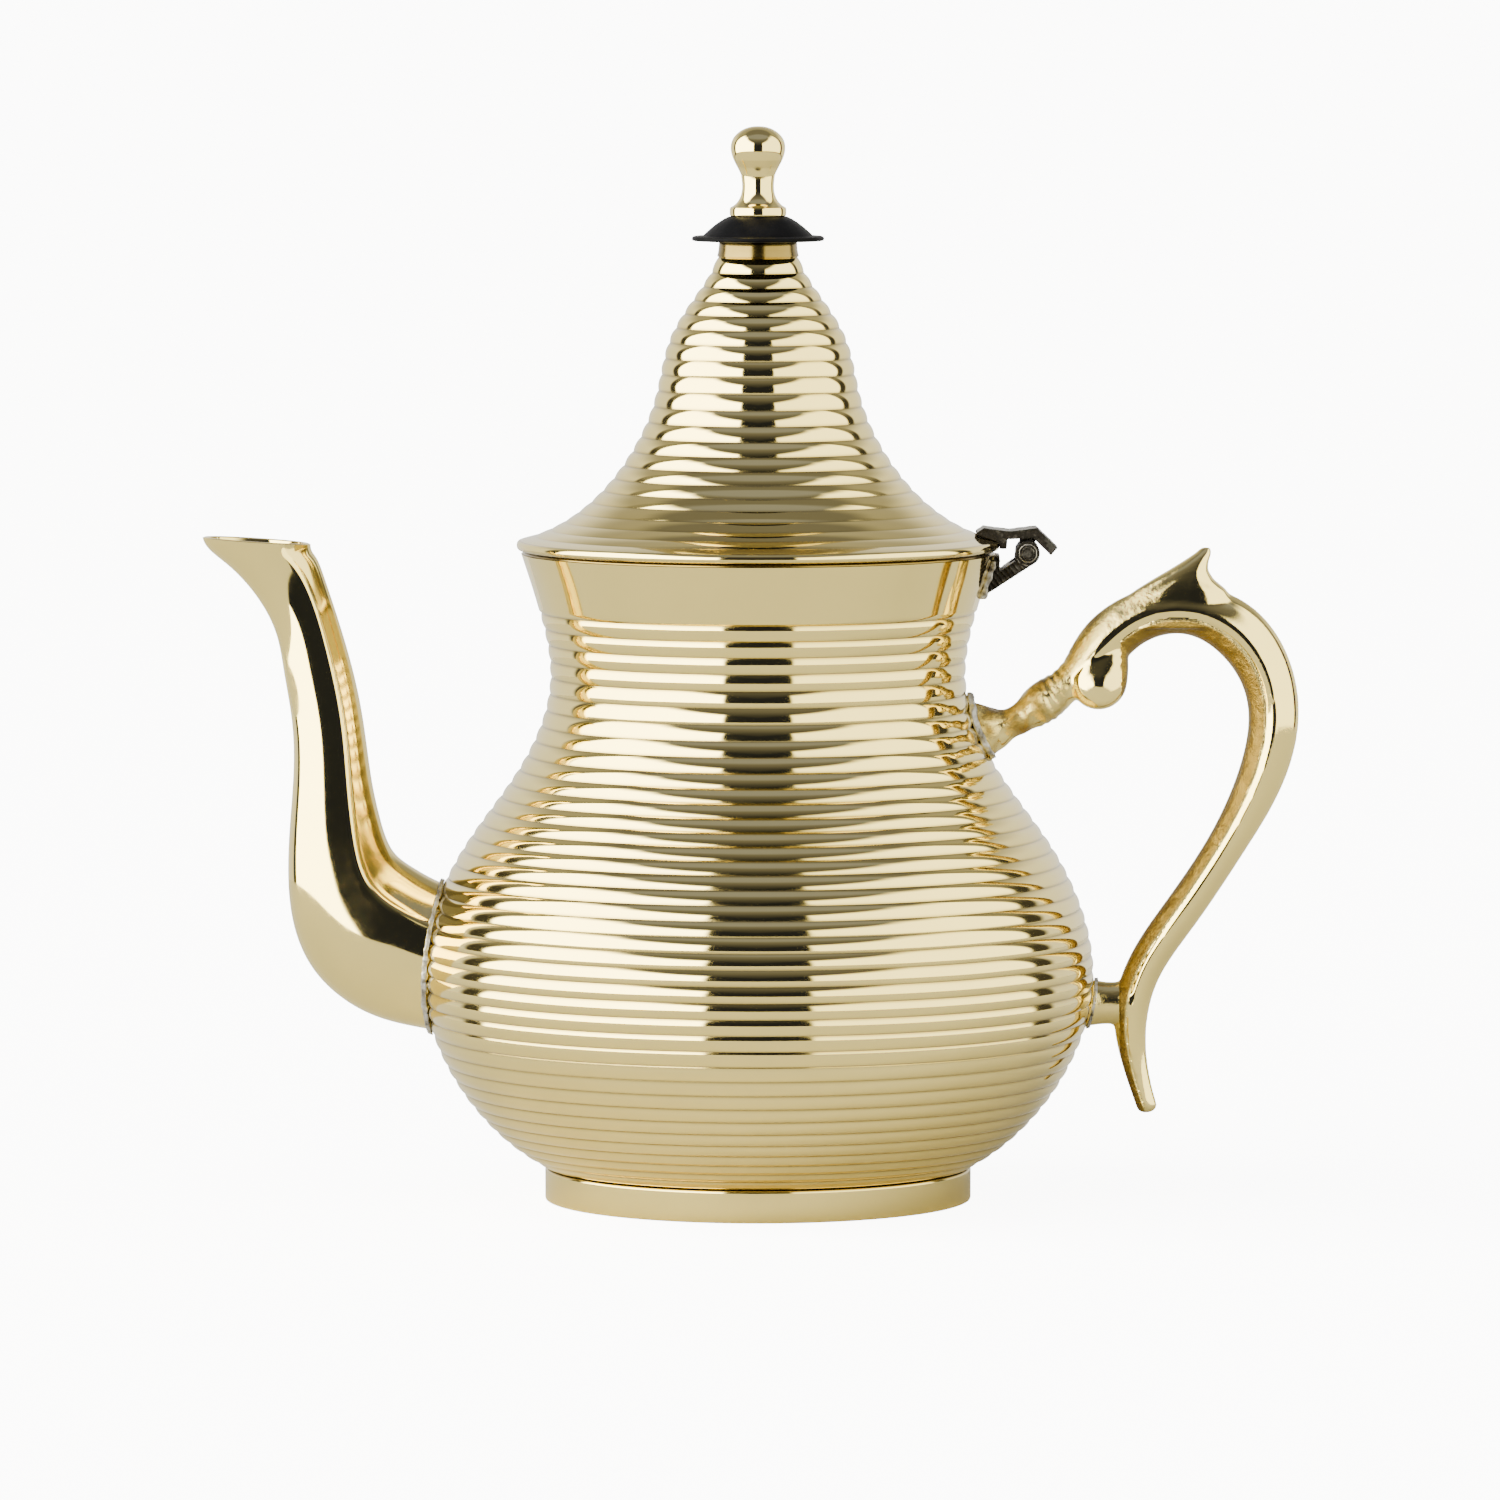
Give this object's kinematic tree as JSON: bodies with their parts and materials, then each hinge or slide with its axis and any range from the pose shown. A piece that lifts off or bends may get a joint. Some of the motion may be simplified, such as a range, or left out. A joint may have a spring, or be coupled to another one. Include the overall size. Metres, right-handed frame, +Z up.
{
  "type": "teapot",
  "caption": "Ribbed pear-shaped brass teapot with a swan spout, a cast scroll handle, a ring foot and a hinged bell lid topped by a knob on a black insulating hat.",
  "frame": {"origin": "centre of the foot ring's rest face, on the pot's turning axis", "axes": "+Z up along the pot's turning axis, +X towards the handle, -X towards the spout"},
  "size_m": [0.1997, 0.1224, 0.1957],
  "materials": {
    "polished_brass": "mirror polished",
    "cast_brass": "polished outside, rough cast inside the loop",
    "solder": "dull grey solder",
    "dark_hinge_metal": "darkened casting, worn silvery on its edges",
    "black_plastic": "satin",
    "plated_steel": "plated"
  },
  "bodies": {
    "pot": {"body_shell": "polished_brass", "foot_ring": "polished_brass", "spout": "polished_brass", "spout_solder": "solder", "handle": "cast_brass", "handle_upper_solder": "solder", "handle_lower_solder": "solder", "hinge_bracket": "dark_hinge_metal", "hinge_solder": "solder", "hinge_pin": "dark_hinge_metal"},
    "lid": {"lid_shell": "polished_brass", "lid_collar": "polished_brass", "lid_hinge_arm": "dark_hinge_metal", "knob_insulator": "black_plastic", "knob": "polished_brass", "knob_stud": "plated_steel", "knob_washer": "plated_steel", "knob_nut": "plated_steel"}
  },
  "joints": [
    {"name": "lid_hinge", "type": "hinge", "parent": "pot", "child": "lid", "pos_m": [0.049, 0, 0.1183], "axis": [0, 1, 0], "range_deg": [0, 104]}
  ]
}
